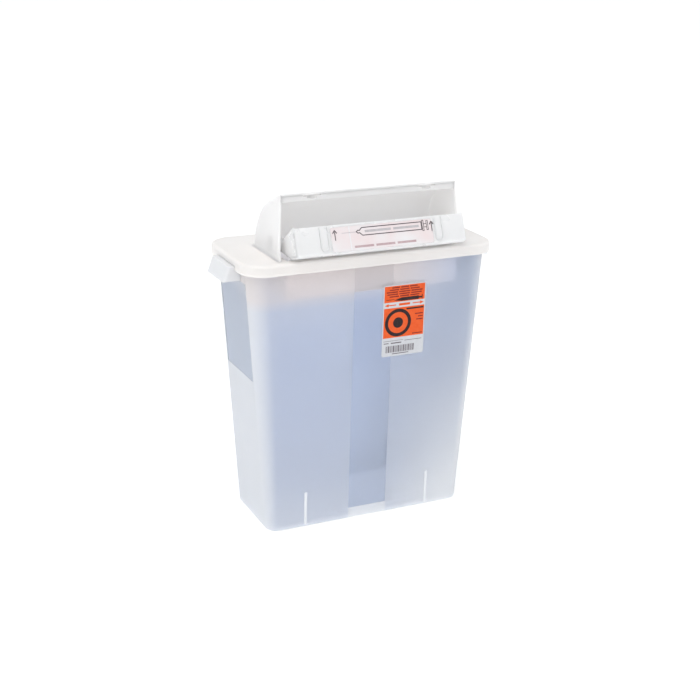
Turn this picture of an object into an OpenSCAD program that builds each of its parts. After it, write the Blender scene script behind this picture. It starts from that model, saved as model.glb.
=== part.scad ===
// In-room sharps container: a tapered see-through tub, a push-fit lid with a hood,
// and a drop tray that tips its load back through the lid when its front is lifted.
// Millimetres, +Z up, front towards -Y, origin at the middle of the tub's underside.

/* [Tub] */
// Width of the tub at its base
base_w = 259.6; // [250:1:264]
// Depth of the tub at its base
base_d = 111.8; // [108:1:114]
// Width of the tub under the rim
top_w = 308; // [306:0.5:309]
// Depth of the tub under the rim
top_d = 128.4; // [127:0.5:129]
// Height of the tub's rim
rim_z = 333; // [332.6:0.1:334]
// Wall thickness of the tub
tub_wall = 2.2; // [1.8:0.1:2.4]

/* [Handles] */
// Width of each hand grip, front to back
grip_d = 56; // [48:1:60]
// Reach of a grip's lower edge from the middle of the tub
grip_reach = 174.6; // [172:0.2:176]
// Height of a grip's lower edge
grip_z = 311.8; // [308:0.2:314]

/* [Lid] */
// Width of the lid
lid_w = 320.5; // [319:0.5:322]
// Depth of the lid
lid_d = 143.6; // [142:0.2:145]
// Height of the lid's top face
deck_z = 338.4; // [337.6:0.1:339]
// Height of the lid's lower lip
lip_z = 325.3; // [324:0.1:326]
// Thickness of the lid
lid_t = 2.2; // [1.8:0.1:2.4]

/* [Hood] */
// Height of the hood's front edge
hood_z = 412.2; // [410:0.1:413]
// Outside width of the hood at the lid
hood_w = 234.4; // [232:0.2:236]
// Slope of the hood's roof, in degrees
roof_slope = 19.5; // [18:0.5:21]
// Height of the lip along the hood's front edge
band_h = 9.4; // [8:0.2:10]
// How far the rim along the hood's front stands above its roof
rim_step = 1.3; // [0.8:0.1:1.6]

/* [Tray] */
// Width over the tray's end walls
tray_w = 214.8; // [212:0.2:215]
// Thickness of the tray's walls
tray_t = 2; // [1.6:0.1:2.2]
// Radius of the stub pins that the tray turns on
pin_r = 4; // [3.5:0.1:4.5]
// Angle the tray's front is lifted by
lift = 0; // [0:1:38]

/* [Hidden] */
$fn = 96;

// Tub
base_r = 13.5;              // plan radius of the tub's corners at its base
top_r = 23.6;               // plan radius of the tub's corners at its rim
foot_r = 3;                 // rounding of the edge round the underside
floor_t = 3;
hull_fn = 64;
wall_lean = atan((top_d - base_d) / 2 / rim_z);   // lean of the front wall
rim_gap = 0.35;             // between the tub's rim and the lid's skirt
rim_flange_z = 329.5;       // underside of the tub's rim flange
rim_flange_t = 2;
rib_h = 45;                 // stacking ribs near the foot, front and back
rib_w = 2.4;
rib_proud = 1;
rib_x = 82;

// Lid
lid_y = 0.6;                // the lid sits this far back of the tub's middle
lid_r = 27.7;
deck_round = 3.6;           // rounding of the lid's upper edge
lip_proud = 0.3;
lip_h = 2.2;
notch_gap = 0.4;            // lid skirt above each grip
throat_w = 216;
throat_front = -58;
throat_back = 17;

// Hood
hood_t = 2.4;
hood_draft = 4.15;          // inward lean of the cheeks, in degrees
hood_back = 23;
hood_front = -46.4;
foot_front = -62;
bend_r = 58;                // bend between the hood's back and roof
bend_steps = 28;
rim_depth = 15;             // front to back, of the rim on the hood's roof
cheek_foot = [[-53.5, 350], [-55, 344.5], [-57.6, 341]];   // flare of each cheek's front edge
mouth_depth = 52;           // front to back, of the cut that opens the mouth
cove_r = 2.6;               // fillet round the hood's foot
cove_t = 0.4;               // thickness of the fillet at its outer edge
slot_x = 73;
slot_w = [22, 11];          // upper and lower widths of a catch slot
slot_z = [404.7, 407.8, 410];
boss_size = [12, 9, 4];
boss_y = -30;
boss_sink = 1.4;            // depth of a boss's foot in the roof
// The bend touches the back wall and the roof line, which slopes back from under the rim.
roof_z = hood_z - rim_step;
bend_y = hood_back - bend_r;
bend_z = roof_z - (bend_r + (bend_y - hood_front) * sin(roof_slope)) / cos(roof_slope);
rim_back = hood_front + rim_depth;

// Pivot
pivot_y = -27;
pivot_z = 353;
pin_play = 0.05;            // radial running clearance of a pin in its bearing
bearing_r = 8;
bearing_x = 109.6;          // inner face of each bearing
pin_end_x = 114;
pin_start_x = 103;

// Tray
panel_top = [-75.8, 379.6];
panel_foot = [-88.4, 350];
panel_lip = [-84, 346.6];   // underside behind the panel's foot
tray_floor_front = [-66, 341.4];
tray_floor_back = [9, 344.6];
apron_r = 34;               // outside of the apron that closes the gap under a lifted tray
apron_from = 200;
apron_to = 250;
panel_corner = 5;
tongue_x = 72;
tongue_w = 11;
tongue_h = 27;
tongue_rim = 1.6;           // each closing tongue is outlined by a raised rim
tongue_proud = 1.2;
panel_lean = atan((panel_top[0] - panel_foot[0]) / (panel_top[1] - panel_foot[1]));
rest_foot_size = [6, 3, 3.8];   // feet under the tray's front that rest on the lid
rest_foot_at = [60, -68];
rest_gap = 0.05;            // under the feet
end_play = 0.4;             // sideways, of the tray between its bearings

// Chute
chute_t = 1.8;
chute_z = 293;
chute_flange = [6, 2];      // reach and thickness of the flange under the lid

// Labels
label_t = 0.3;
label_size = [56, 89.5];
label_x = 12.5;
label_z = 207.6;
label_r = 2.5;
film_size = [128, 28];
film_drop = 3;
label_gap = 0.02;

tub_white = [0.78, 0.84, 0.91, 0.55];
lid_white = [0.96, 0.95, 0.93];
hood_white = [0.9, 0.9, 0.89];
tray_clear = [0.86, 0.9, 0.94, 0.7];
label_orange = [0.92, 0.35, 0.12];
film_pink = [0.97, 0.93, 0.93];

// ---------- helpers ----------

module rounded_plan(w, d, r) {
    translate([-w / 2 + r, -d / 2 + r])
        square([w - 2 * r, d - 2 * r]);
    for (sx = [-1, 1], sy = [-1, 1])
        translate([sx * (w / 2 - r), sy * (d / 2 - r)])
            circle(r);
    square([w - 2 * r, d], center = true);
    square([w, d - 2 * r], center = true);
}

// Sweeps a profile round a rounded rectangle. The profile's x runs outward from the
// centre of the corner arcs, so x = r lies on the outline.
module swept_edge(w, d, r) {
    for (turn = [0 : 3]) {
        across = turn % 2 == 0;
        run = (across ? w : d) - 2 * r;
        off = (across ? d : w) / 2 - r;
        rotate([0, 0, 90 * turn]) {
            translate([-run / 2, -off, 0])
                rotate([90, 0, 90])
                    linear_extrude(run)
                        mirror([1, 0])
                            children();
            translate([run / 2, -off, 0])
                rotate([0, 0, -90])
                    rotate_extrude(angle = 90)
                        children();
        }
    }
}

module both_sides() {
    children();
    mirror([1, 0, 0])
        children();
}

// Extrudes a side view (x = Y, y = Z) across the object, centred on X = 0.
module side_view(width) {
    translate([-width / 2, 0, 0])
        rotate([90, 0, 90])
            linear_extrude(width)
                children();
}

// Extrudes a front view (x = X, y = Z) from y_from to y_to.
module front_view(y_from, y_to) {
    translate([0, y_to, 0])
        rotate([90, 0, 0])
            linear_extrude(y_to - y_from)
                children();
}

// Places children on the leaning front wall, with z measured up the wall.
module on_front_wall() {
    translate([0, -base_d / 2, 0])
        rotate([wall_lean, 0, 0])
            children();
}

// ---------- tub ----------

module tub_form(inset, from_z) {
    hull() {
        translate([0, 0, from_z])
            linear_extrude(0.01)
                rounded_plan(base_w - 2 * (inset + foot_r), base_d - 2 * (inset + foot_r),
                             base_r - foot_r, $fn = hull_fn);
        translate([0, 0, from_z + foot_r * 0.3])
            linear_extrude(0.01)
                rounded_plan(base_w - 2 * (inset + foot_r * 0.3),
                             base_d - 2 * (inset + foot_r * 0.3),
                             base_r - foot_r * 0.3, $fn = hull_fn);
        translate([0, 0, from_z + foot_r])
            linear_extrude(0.01)
                rounded_plan(base_w - 2 * inset, base_d - 2 * inset,
                             base_r - inset / 2, $fn = hull_fn);
        translate([0, 0, rim_z - 0.01])
            linear_extrude(0.01)
                rounded_plan(top_w - 2 * inset, top_d - 2 * inset,
                             top_r - inset, $fn = hull_fn);
    }
}

module grip() {
    wall_x = top_w / 2 - tub_wall;
    shelf_reach = grip_reach - 7.1;
    under_z = rim_flange_z - tub_wall;
    side_profile = [[wall_x - 1, rim_flange_z], [shelf_reach, rim_flange_z],
                    [grip_reach, grip_z], [grip_reach - tub_wall, grip_z],
                    [shelf_reach - tub_wall + 0.6, under_z], [wall_x - 1, under_z]];
    end_profile = [[wall_x - 4, rim_flange_z], [shelf_reach, rim_flange_z],
                   [grip_reach, grip_z], [wall_x - 4, grip_z]];
    front_view(-grip_d / 2, grip_d / 2)
        polygon(side_profile);
    for (y = [-grip_d / 2, grip_d / 2 - tub_wall])
        front_view(y, y + tub_wall)
            polygon(end_profile);
}

module stacking_rib() {
    translate([-rib_w / 2, -rib_proud, foot_r])
        cube([rib_w, rib_proud + 1, rib_h - foot_r]);
}

module container_body() {
    color(tub_white)
        difference() {
            union() {
                tub_form(0, 0);
                translate([0, lid_y, rim_flange_z])
                    linear_extrude(rim_flange_t)
                        rounded_plan(lid_w - 2 * (lid_t + rim_gap),
                                     lid_d - 2 * (lid_t + rim_gap),
                                     lid_r - lid_t - rim_gap);
                both_sides()
                    grip();
                for (turn = [0, 180])
                    rotate([0, 0, turn])
                        both_sides()
                            translate([rib_x, 0, 0])
                                on_front_wall()
                                    stacking_rib();
            }
            tub_form(tub_wall, floor_t);
            translate([0, 0, rim_z - 0.02])
                linear_extrude(1)
                    square([400, 200], center = true);
        }
}

// ---------- lid ----------

module lid_edge_profile() {
    wall_x = lid_r - lid_t;
    difference() {
        union() {
            translate([lid_r - deck_round, lip_z])
                square([deck_round, deck_z - deck_round - lip_z]);
            translate([lid_r - deck_round, deck_z - deck_round])
                circle(deck_round);
            translate([wall_x, lip_z])
                square([lid_t + lip_proud, lip_h]);
        }
        translate([lid_r - deck_round, deck_z - deck_round])
            circle(deck_round - lid_t);
        translate([lid_r - deck_round - 10, lip_z - 1])
            square([deck_round + 10 - lid_t, deck_z - deck_round - lip_z + 1]);
        translate([lid_r - deck_round - 10, lip_z - 1])
            square([10, deck_z]);
    }
}

module lid_deck() {
    plate_w = lid_w - 2 * deck_round;
    plate_d = lid_d - 2 * deck_round;
    color(lid_white)
        difference() {
            translate([0, lid_y, 0]) {
                swept_edge(lid_w, lid_d, lid_r)
                    lid_edge_profile();
                translate([0, 0, deck_z - lid_t])
                    linear_extrude(lid_t)
                        rounded_plan(plate_w, plate_d, lid_r - deck_round);
            }
            translate([-throat_w / 2, throat_front, lip_z])
                cube([throat_w, throat_back - throat_front, 20]);
            both_sides()
                translate([lid_w / 2 - 6, -grip_d / 2 - 1, lip_z - 1])
                    cube([10, grip_d + 2, rim_flange_z + notch_gap - lip_z + 1]);
        }
}

// ---------- hood ----------

// Height of the roof's outer face at y.
function roof_at(y) = roof_z - (y - hood_front) * tan(roof_slope);

// Side view of the hood, moved inward by t: back wall, bend, roof and leaning front edge.
// The outside also has the rim.
module hood_side(t) {
    r = bend_r - t;
    drop = t / cos(roof_slope);
    bend = [for (step = [0 : bend_steps])
                let (a = (90 - roof_slope) * step / bend_steps)
                [bend_y + r * cos(a), bend_z + r * sin(a)]];
    rim = t > 0 ? [] : [[rim_back, roof_at(rim_back)],
                        [rim_back - rim_step, roof_at(rim_back) + rim_step]];
    top = [hood_front, t > 0 ? roof_z - drop : hood_z];
    polygon(concat([[hood_back - t, deck_z]], bend, rim, [top], cheek_foot,
                   [[foot_front, deck_z]]));
}

module hood_front_view(t) {
    half = hood_w / 2 - t / cos(hood_draft);
    rise = 80;
    polygon([[-half, deck_z - 1], [half, deck_z - 1],
             [half - (rise + 1) * tan(hood_draft), deck_z + rise],
             [-half + (rise + 1) * tan(hood_draft), deck_z + rise]]);
}

// Space inside the hood and through its mouth. The band along the roof's front edge stays.
module hood_inside() {
    band_back = hood_front + hood_t;
    ahead = foot_front - 20;
    under = deck_z - 5;
    band_z = hood_z - band_h;
    intersection() {
        side_view(hood_w)
            difference() {
                union() {
                    hood_side(hood_t);
                    translate([ahead, under])
                        square([mouth_depth, band_z - under]);
                    translate([ahead, under])
                        square([hood_back - hood_t - ahead, deck_z - under + 1]);
                }
                translate([ahead - 1, band_z])
                    square([band_back - ahead + 1, hood_z - band_z + 1]);
            }
        front_view(-100, 60)
            hood_front_view(hood_t);
    }
}

// Cutters that hollow the fillet along the cheeks' feet.
module cheek_cove_cut() {
    both_sides()
        translate([hood_w / 2 + cove_r, 0, deck_z + cove_r])
            rotate([90, 0, 0])
                cylinder(h = hood_w, r = cove_r - cove_t, center = true);
}

module foot_cove() {
    half = hood_w / 2;
    difference() {
        both_sides()
            translate([half - 1, foot_front + 2, deck_z])
                cube([cove_r + 1, hood_back + cove_r - foot_front - 2, cove_r]);
        cheek_cove_cut();
    }
    difference() {
        translate([-half - cove_r, hood_back - 1, deck_z])
            cube([hood_w + 2 * cove_r, cove_r + 1, cove_r]);
        translate([0, hood_back + cove_r, deck_z + cove_r])
            rotate([0, 90, 0])
                cylinder(h = hood_w + 4 * cove_r, r = cove_r - cove_t, center = true);
        cheek_cove_cut();
    }
}

module catch_slot() {
    front_view(hood_front - 2, hood_front + hood_t + 2) {
        translate([slot_x - slot_w[0] / 2, slot_z[1]])
            square([slot_w[0], slot_z[2] - slot_z[1]]);
        translate([slot_x - slot_w[1] / 2, slot_z[0]])
            square([slot_w[1], slot_z[1] - slot_z[0] + 0.5]);
    }
}

module catch_boss() {
    translate([slot_x - boss_size[0] / 2, boss_y - boss_size[1] / 2,
               roof_at(boss_y) - boss_sink])
        cube(boss_size);
}

module hood_bearing() {
    translate([bearing_x, pivot_y, pivot_z])
        rotate([0, 90, 0])
            cylinder(h = hood_w / 2 - bearing_x - 2, r = bearing_r);
}

module hood() {
    color(hood_white)
        difference() {
            union() {
                difference() {
                    intersection() {
                        side_view(hood_w)
                            hood_side(0);
                        front_view(-100, 60)
                            hood_front_view(0);
                    }
                    hood_inside();
                }
                foot_cove();
                both_sides() {
                    catch_boss();
                    hood_bearing();
                }
            }
            both_sides() {
                catch_slot();
                translate([bearing_x - 1, pivot_y, pivot_z])
                    rotate([0, 90, 0])
                        cylinder(h = pin_end_x + 0.4 - bearing_x + 1, r = pin_r + pin_play);
            }
        }
}

// ---------- chute under the lid ----------

module throat_chute() {
    wide = throat_w;
    deep = throat_back - throat_front;
    top = deck_z - lid_t;
    color(lid_white)
        difference() {
            union() {
                translate([-wide / 2 - chute_t, throat_front - chute_t, chute_z])
                    cube([wide + 2 * chute_t, deep + 2 * chute_t, top - chute_z]);
                translate([-wide / 2 - chute_flange[0], throat_front - chute_t,
                           top - chute_flange[1]])
                    cube([wide + 2 * chute_flange[0], deep + chute_t + chute_flange[0],
                          chute_flange[1]]);
            }
            translate([-wide / 2, throat_front, chute_z - 1])
                cube([wide, deep, top - chute_z + 2]);
        }
}

// ---------- tray ----------

// Turns the tray about its pins, front up.
module tray_pose() {
    translate([0, pivot_y, pivot_z])
        rotate([-lift, 0, 0])
            translate([0, -pivot_y, -pivot_z])
                children();
}

module tray_outline() {
    polygon([panel_foot, panel_top, panel_top + [3.2, 0.2], [-40.9, 356.5], [-36, 355],
             [-18, 355], tray_floor_back + [0, 3], tray_floor_back,
             tray_floor_front, panel_lip]);
    translate([pivot_y, pivot_z])
        circle(bearing_r);
}

module tray_section() {
    // front panel with a rounded rim
    polygon([panel_foot, panel_top, panel_top + [tray_t, 0], panel_foot + [tray_t, 0.8]]);
    translate(panel_top + [tray_t / 2 + 0.1, -1])
        circle(tray_t / 2 + 0.3);
    // floor
    polygon([tray_floor_front, tray_floor_back, tray_floor_back + [0, tray_t],
             tray_floor_front + [0.4, tray_t], panel_lip + [1, tray_t],
             panel_foot + [tray_t + 0.4, 2.4], panel_foot, panel_lip]);
    // apron under the floor, concentric with the pivot
    translate([pivot_y, pivot_z])
        intersection() {
            difference() {
                circle(apron_r);
                circle(apron_r - tray_t);
            }
            polygon([[0, 0], 2 * apron_r * [cos(apron_from), sin(apron_from)],
                     2 * apron_r * [cos(apron_to), sin(apron_to)]]);
        }
}

module panel_front_view() {
    half = tray_w / 2;
    low = pivot_z - apron_r - 1;
    translate([-half, low])
        square([tray_w, panel_top[1] - panel_corner - low]);
    translate([-half + panel_corner, low])
        square([tray_w - 2 * panel_corner, panel_top[1] + 1 - low]);
    for (sx = [-1, 1])
        translate([sx * (half - panel_corner), panel_top[1] - panel_corner + 1])
            circle(panel_corner);
}

// Places children on the tray's leaning front panel, with z = 0 at its top edge.
module on_panel() {
    translate([0, panel_top[0], panel_top[1]])
        rotate([-panel_lean, 0, 0])
            children();
}

module tongue_plan(w) {
    translate([-w / 2, -tongue_h + tongue_w / 2])
        square([w, tongue_h - tongue_w / 2]);
    translate([0, -tongue_h + tongue_w / 2])
        circle(w / 2);
}

module closing_tongue() {
    on_panel()
        translate([tongue_x, 0, -1.5])
            front_view(-tongue_proud, 0.8)
                difference() {
                    tongue_plan(tongue_w);
                    translate([0, 0.01])
                        tongue_plan(tongue_w - 2 * tongue_rim);
                }
}

module tray_shell() {
    intersection() {
        union() {
            side_view(tray_w)
                tray_section();
            both_sides()
                translate([tray_w / 2 - tray_t / 2, 0, 0])
                    side_view(tray_t)
                        tray_outline();
        }
        front_view(-100, 60)
            panel_front_view();
    }
}

module pin_socket() {
    translate([pin_start_x, pivot_y, pivot_z])
        rotate([0, 90, 0])
            cylinder(h = bearing_x - end_play - pin_start_x, r = bearing_r - 0.6);
}

module rest_foot() {
    translate([rest_foot_at[0], rest_foot_at[1], deck_z + rest_gap])
        cube(rest_foot_size);
}

module drop_tray() {
    color(tray_clear)
        tray_pose()
            difference() {
                union() {
                    tray_shell();
                    both_sides() {
                        closing_tongue();
                        pin_socket();
                        rest_foot();
                    }
                }
                both_sides()
                    translate([pin_start_x - 1, pivot_y, pivot_z])
                        rotate([0, 90, 0])
                            cylinder(h = pin_end_x - pin_start_x, r = pin_r);
            }
}

module pivot_pin() {
    tray_pose()
        translate([pin_start_x, pivot_y, pivot_z])
            rotate([0, 90, 0])
                cylinder(h = pin_end_x - pin_start_x, r = pin_r);
}

module pivot_pin_left() {
    color(lid_white)
        mirror([1, 0, 0])
            pivot_pin();
}

module pivot_pin_right() {
    color(lid_white)
        pivot_pin();
}

module tray_film() {
    color(film_pink)
        tray_pose()
            on_panel()
                translate([-film_size[0] / 2, -label_t - label_gap, -film_size[1] - film_drop])
                    cube([film_size[0], label_t, film_size[1]]);
}

// ---------- label on the tub ----------

module front_label() {
    color(label_orange)
        on_front_wall()
            translate([label_x + label_size[0] / 2, 0, label_z + label_size[1] / 2])
                front_view(-label_t - label_gap, -label_gap)
                    rounded_plan(label_size[0], label_size[1], label_r);
}

container_body();
lid_deck();
hood();
throat_chute();
drop_tray();
pivot_pin_left();
pivot_pin_right();
tray_film();
front_label();
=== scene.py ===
"""Looks for an in-room sharps container: frosted tub, white lid, milky hood, clear drop tray."""

import math

import bmesh
import bpy
from mathutils import Matrix, Vector


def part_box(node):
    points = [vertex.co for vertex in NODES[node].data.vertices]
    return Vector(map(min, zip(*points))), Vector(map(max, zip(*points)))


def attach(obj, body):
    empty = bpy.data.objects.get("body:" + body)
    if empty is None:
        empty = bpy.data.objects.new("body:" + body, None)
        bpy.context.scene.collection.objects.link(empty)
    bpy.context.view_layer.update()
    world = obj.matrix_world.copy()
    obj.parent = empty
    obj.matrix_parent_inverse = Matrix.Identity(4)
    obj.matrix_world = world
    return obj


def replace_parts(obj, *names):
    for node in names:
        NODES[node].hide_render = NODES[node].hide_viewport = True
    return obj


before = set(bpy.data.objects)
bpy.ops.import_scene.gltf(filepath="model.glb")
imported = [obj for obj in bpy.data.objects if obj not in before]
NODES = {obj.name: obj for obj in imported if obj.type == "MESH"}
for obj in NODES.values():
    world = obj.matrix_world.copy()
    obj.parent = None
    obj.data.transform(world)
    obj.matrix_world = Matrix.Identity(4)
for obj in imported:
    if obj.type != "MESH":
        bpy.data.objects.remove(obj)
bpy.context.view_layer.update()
MM = 0.001

# ---------- sizes, in millimetres ----------

# Tub
BASE_W, BASE_D = 259.6, 111.8
TOP_W, TOP_D = 308.0, 128.4
RIM_Z = 333.0
FLAT_HALF = 42.0            # half length of the flat part of each end wall
FOOT_R = 3.0
WALL = 2.2
FLOOR = 3.0
FLANGE = (157.6, 69.2)      # half width and half depth of the flange under the lid
FLANGE_Z = (329.5, 331.5)
WINDOW_HALF = 25.3          # clear strip down the front
WINDOW_LOW = 14.0
PANEL_Z = (192.0, 311.0)    # clear panel on each end wall
RECESS = 0.25               # clear areas sit this far below the frosted skin
STEP = 0.35                 # width of the step round a clear area
NEAR = 0.01                 # slack when a point is tested against an edge
FADE = (5, 13, 26)          # distances from a corner at which its milky look fades
# Painted light: warm colour painted on the front wall just under the lid, in place of warm light
# from the lid
PAINTED_LIGHT_WARM = (0.95, 0.885, 0.86)
CORNER_MILK = [(0.0, 0.12), (0.25, 0.35), (0.5, 0.6), (0.75, 0.8), (1.0, 0.95)]
WINDOW_FADE = (230.0, 60.0)     # heights between which the window turns milky
FOOT_MILK, FOOT_FADE = 0.25, (220.0, 40.0)      # milk that grows down the walls
HEEL_MILK, HEEL_FADE = 0.2, (60.0, 15.0)        # and what is added close to the foot
TOP_MILK, TOP_FADE, TOP_ACROSS = 0.2, (235.0, 305.0), (60.0, 0.0)
# Painted light: the tub's right-hand side is painted lighter, most towards the foot
SIDE_PAINTED_LIGHT, SIDE_FADE, SIDE_ACROSS = 0.7, (230.0, 50.0), (20.0, 120.0)
# Painted light: strength, heights and reach across of the warm band painted under the lid
PAINTED_WARM_MOST, PAINTED_WARM_FADE, PAINTED_WARM_ACROSS = 0.8, (280.0, 294.0), (112.0, 67.0)
WALL_LEVELS = [9, WINDOW_LOW, WINDOW_LOW + STEP, 30, 60, 120, PANEL_Z[0], PANEL_Z[0] + STEP, 250,
               280, 294, PANEL_Z[1] - STEP, PANEL_Z[1], FLANGE_Z[0]]
CORNER_STEPS = 14
FOOT_STEPS = 6
GRIP_HALF = 28.0            # half width of a grip
GRIP_REACH = (174.0, 167.5)     # above its lip and at its shelf
GRIP_Z = (311.8, 329.5)
GRIP_ROUND = 4.0
RIB_X, RIB_Z = 82.0, (3.0, 46.0)

# Lid and hood
DECK_Z = 338.4
LID_Y = 0.6
HOOD_HALF = 117.2
HOOD_DRAFT = math.radians(4.15)
HOOD_T = 2.4
HOOD_BACK, HOOD_FRONT, HOOD_Z = 23.0, -46.4, 412.2
BEND_R = 58.0
BEND_STEPS = 24
ROOF_SLOPE = math.radians(19.5)
RIM_STEP, RIM_DEPTH = 1.3, 15.0
ROOF_Z = HOOD_Z - RIM_STEP
EDGE_R, FRONT_R = 3.4, 1.8      # rounding of the hood's edges, and at its front rim
FLARE = 2.6                     # fillet round the hood's foot
CHEEK_EDGE = [(338.4, -62.0), (341.0, -57.6), (344.5, -55.0), (350.0, -53.5), (412.2, -46.4)]
BAND_LOW = 402.8
SLOT_X, SLOT_HALF = 73.0, (11.0, 5.5)   # upper and lower half widths
SLOT_Z = (404.7, 407.8, 410.0)
BOSS = (6.0, 4.5, 2.6)          # half width, half depth and height of a boss on the roof
BOSS_Y = -30.0

# Tray
PIVOT = (-27.0, 353.0)
TRAY_HALF = 107.4
TRAY_T = 2.0
PANEL_TOP, PANEL_FOOT, PANEL_LIP = (-75.8, 379.6), (-88.4, 350.0), (-84.0, 346.6)
TRAY_FLOOR = [(-66.0, 341.4), (9.0, 344.6)]
TRAY_EDGE = [(9.0, 347.6), (-18.0, 355.0), (-36.0, 355.0), (-40.9, 356.5), (-72.6, 379.8)]
TRAY_R = 3.2                    # rounding between the tray's walls
APRON_R, APRON_TURN = 34.0, (200, 250)
TONGUE_X, TONGUE_W, TONGUE_V = 72.3, 11.0, (1.5, 29.0)
PIN_R, BOSS_R, BEARING_R = 4.0, 7.4, 8.0
BEARING_X = (109.6, 114.6)
SOCKET_X = (103.0, 109.2)

# Sticker and film
LEAN = math.atan2((TOP_D - BASE_D) / 2, RIM_Z)
LABEL_OUT = 0.33
PRINT_T = 0.06
INK_ROOT = 0.1                  # how far a print reaches down into its sheet
OVER = 0.05                     # lift of ink that is printed over other ink
LABEL_MARGIN = (1.3, 1.2)       # from the sticker's left and right edges to its panels
FILM_OUT = 0.33

# ---------- camera and floor ----------

CAMERA_AT = (-0.6608, -1.4015, 0.7375)
CAMERA_TURN = (-25.241, 19.160, 0.990)     # azimuth, elevation and roll, in degrees
CAMERA_LENS = 68.457
FLOOR_GLOW = 0.3            # keeps the pale floor as bright as the backdrop


def make_camera():
    azimuth, elevation, roll = (math.radians(a) for a in CAMERA_TURN)
    back = Vector((math.sin(azimuth) * math.cos(elevation),
                   -math.cos(azimuth) * math.cos(elevation),
                   math.sin(elevation)))
    right = Vector((math.cos(azimuth), math.sin(azimuth), 0))
    up = back.cross(right)
    x_axis = right * math.cos(roll) + up * math.sin(roll)
    y_axis = back.cross(x_axis)
    turn = Matrix((x_axis, y_axis, back)).transposed()
    data = bpy.data.cameras.new("camera")
    data.lens = CAMERA_LENS
    data.sensor_width = 36
    data.clip_start, data.clip_end = 0.05, 100
    camera = bpy.data.objects.new("camera", data)
    camera.matrix_world = Matrix.Translation(CAMERA_AT) @ turn.to_4x4()
    bpy.context.scene.collection.objects.link(camera)
    bpy.context.scene.camera = camera


# ---------- materials ----------

def new_material(name):
    material = bpy.data.materials.new(name)
    material.use_nodes = True
    shader = material.node_tree.nodes["Principled BSDF"]
    return material, material.node_tree, shader


def add_node(tree, kind, **values):
    node = tree.nodes.new(kind)
    for key, value in values.items():
        setattr(node, key, value)
    return node


def noise(tree, scale, detail=3.0):
    coords = add_node(tree, "ShaderNodeTexCoord")
    texture = add_node(tree, "ShaderNodeTexNoise")
    texture.inputs["Scale"].default_value = scale
    texture.inputs["Detail"].default_value = detail
    tree.links.new(coords.outputs["Object"], texture.inputs["Vector"])
    return texture.outputs["Fac"]


def remap(tree, source, low, high, from_low=0.3, from_high=0.7):
    node = add_node(tree, "ShaderNodeMapRange")
    node.inputs["From Min"].default_value = from_low
    node.inputs["From Max"].default_value = from_high
    node.inputs["To Min"].default_value = low
    node.inputs["To Max"].default_value = high
    tree.links.new(source, node.inputs["Value"])
    return node.outputs["Result"]


def mix_colours(tree, factor, first, second):
    """Mixes two colours, each a plain colour or a socket, by a socket."""
    node = add_node(tree, "ShaderNodeMix", data_type="RGBA")
    tree.links.new(factor, node.inputs["Factor"])
    for name, colour in (("A", first), ("B", second)):
        if isinstance(colour, tuple):
            node.inputs[name].default_value = (*colour, 1)
        else:
            tree.links.new(colour, node.inputs[name])
    return node.outputs["Result"]


def add_bump(tree, shader, height, strength, distance):
    bump = add_node(tree, "ShaderNodeBump")
    bump.inputs["Strength"].default_value = strength
    bump.inputs["Distance"].default_value = distance
    tree.links.new(height, bump.inputs["Height"])
    tree.links.new(bump.outputs["Normal"], shader.inputs["Normal"])


def plastic(name, colour, shade, roughness, transmission=0.0, ior=1.49, grain=900.0, bump=0.1,
            rough_span=0.05, mottle=14.0, scatter=0.0, glow=0.0, milk_and_painted_light=None, block=0.55):
    """Moulded plastic: cloudy colour, uneven gloss and a fine moulded skin.

    scatter is the depth in metres that light creeps through it. glow stands in for daylight
    that thin plastic passes on. Where the mesh's stored milky share is 1 it takes the given
    milky colour, and that share also holds painted light; block is the share of straight
    light that it loses there. Such a plastic also takes a painted warm light, a warm colour
    painted where the mesh's stored warm share is 1.
    """
    material, tree, shader = new_material(name)
    shader.inputs["IOR"].default_value = ior
    tint = mix_colours(tree, remap(tree, noise(tree, mottle, detail=4.0), 0, 1), colour, shade)
    if milk_and_painted_light:
        # The stored milky share also carries painted light on the tub's right side
        share = add_node(tree, "ShaderNodeAttribute", attribute_name="milk_and_painted_light").outputs["Fac"]
        tint = mix_colours(tree, share, tint, milk_and_painted_light)
        # Painted light: the warm colour is painted where the mesh's stored warm share is 1
        painted_warm_light = add_node(tree, "ShaderNodeAttribute", attribute_name="painted_warm_light").outputs["Fac"]
        tint = mix_colours(tree, painted_warm_light, tint, PAINTED_LIGHT_WARM)
        tree.links.new(remap(tree, share, transmission, transmission * (1 - block), 0, 1),
                       shader.inputs["Transmission Weight"])
    else:
        shader.inputs["Transmission Weight"].default_value = transmission
    tree.links.new(tint, shader.inputs["Base Color"])
    if scatter:
        shader.inputs["Subsurface Weight"].default_value = 1.0
        shader.inputs["Subsurface Scale"].default_value = scatter
        shader.inputs["Subsurface Radius"].default_value = (1.0, 0.97, 0.94)
    if glow:
        shader.inputs["Emission Color"].default_value = (*colour, 1)
        shader.inputs["Emission Strength"].default_value = glow
    gloss = noise(tree, mottle * 3, detail=5.0)
    tree.links.new(remap(tree, gloss, roughness - rough_span, roughness + rough_span),
                   shader.inputs["Roughness"])
    add_bump(tree, shader, noise(tree, grain, detail=2.0), bump, 0.0002)
    return material


def ink(name, colour, worn, roughness=0.45):
    """Printing ink: slightly uneven coverage and a faint paper tooth."""
    material, tree, shader = new_material(name)
    tint = mix_colours(tree, remap(tree, noise(tree, 260, detail=5.0), 0, 1, 0.35, 0.8),
                       colour, worn)
    shader.inputs["Specular IOR Level"].default_value = 0.2
    tree.links.new(tint, shader.inputs["Base Color"])
    tree.links.new(remap(tree, noise(tree, 90), roughness - 0.06, roughness + 0.06),
                   shader.inputs["Roughness"])
    add_bump(tree, shader, noise(tree, 2600), 0.06, 0.00008)
    return material


# ---------- mesh helpers ----------

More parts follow.
